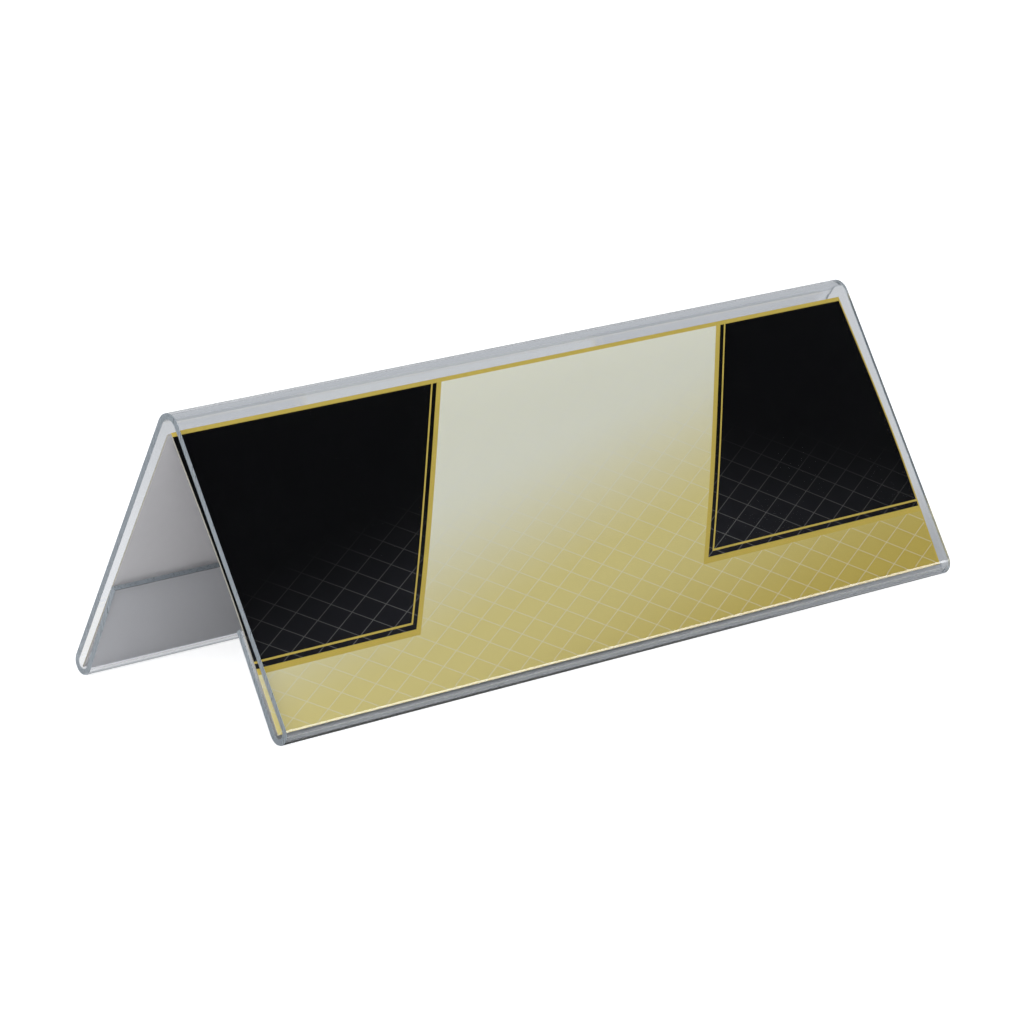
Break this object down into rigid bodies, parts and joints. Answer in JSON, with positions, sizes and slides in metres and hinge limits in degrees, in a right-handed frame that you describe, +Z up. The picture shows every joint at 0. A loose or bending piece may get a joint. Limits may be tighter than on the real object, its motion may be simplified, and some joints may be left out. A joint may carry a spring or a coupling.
{
  "type": "desk name holder",
  "caption": "Clear tent-shaped desk name holder bent from sheet plastic, with a loose printed card in the slot of each sloping panel.",
  "frame": {"origin": "under the middle of the holder, on the surface it stands on", "axes": "+X along the holder, +Y from the front panel to the back panel, +Z up"},
  "size_m": [0.211, 0.0818, 0.07],
  "materials": {
    "clear_sheet": "clear and polished, satin on the cut edges",
    "printed_card": "coated board printed in black, cream and gold on its outer face, plain white behind"
  },
  "bodies": {
    "holder": {"tent_holder": "clear_sheet"},
    "front_insert": {"front_card": "printed_card"},
    "back_insert": {"back_card": "printed_card"}
  },
  "joints": [
    {"name": "front_card_slide", "type": "slide", "parent": "holder", "child": "front_insert", "axis": [1, 0, 0], "range_m": [-0.215, 0.215]},
    {"name": "back_card_slide", "type": "slide", "parent": "holder", "child": "back_insert", "axis": [1, 0, 0], "range_m": [-0.215, 0.215]}
  ]
}
